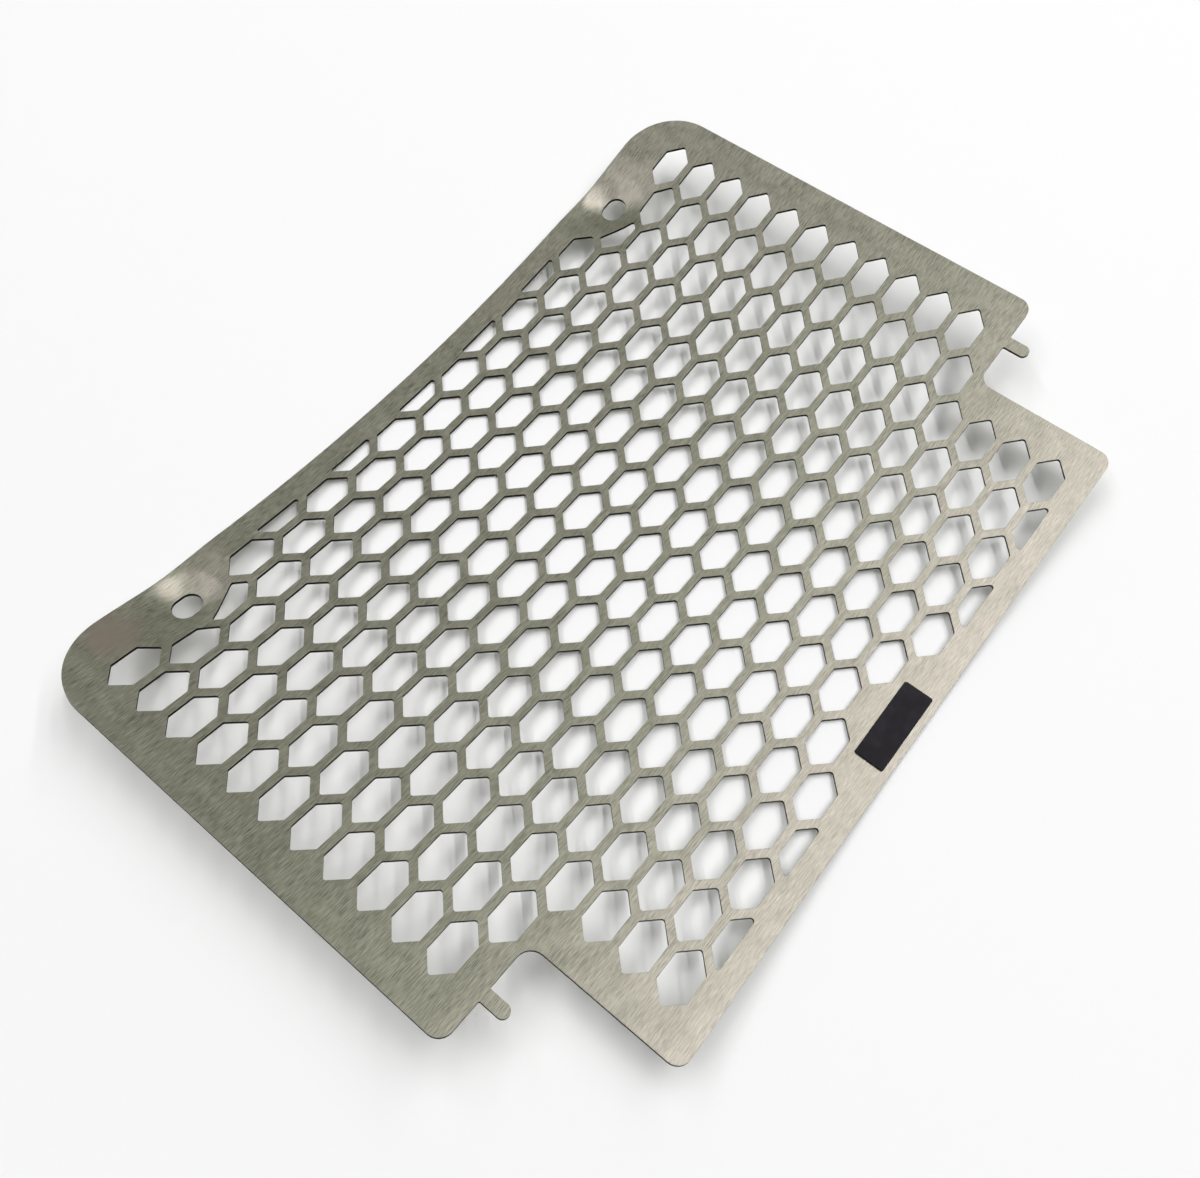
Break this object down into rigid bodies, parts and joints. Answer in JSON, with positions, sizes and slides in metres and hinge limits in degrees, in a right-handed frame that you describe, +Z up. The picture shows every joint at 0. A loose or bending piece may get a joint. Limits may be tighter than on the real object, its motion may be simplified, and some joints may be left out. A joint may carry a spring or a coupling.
{
  "type": "motorcycle radiator guard",
  "caption": "Curved honeycomb radiator guard: a laser-cut stainless sheet, rolled to a shallow arc, with two slotted fixings in pressed dimples, an end flap and two locating tabs.",
  "frame": {"origin": "on the surface that the guard rests on, under the middle of its box; that is the lowest line of the rolled arc", "axes": "+X across the sheet from the edge with the fixings to the flap, +Y along the sheet, +Z up through the hollow side of the arc"},
  "size_m": [0.167, 0.2364, 0.0179],
  "materials": {
    "brushed_sheet": "fine straight brushed grain, warm grey",
    "black_plate": "smooth black with a soft gloss, blank"
  },
  "bodies": {
    "root": {"guard_sheet": "brushed_sheet", "label_plate": "black_plate"}
  },
  "joints": []
}
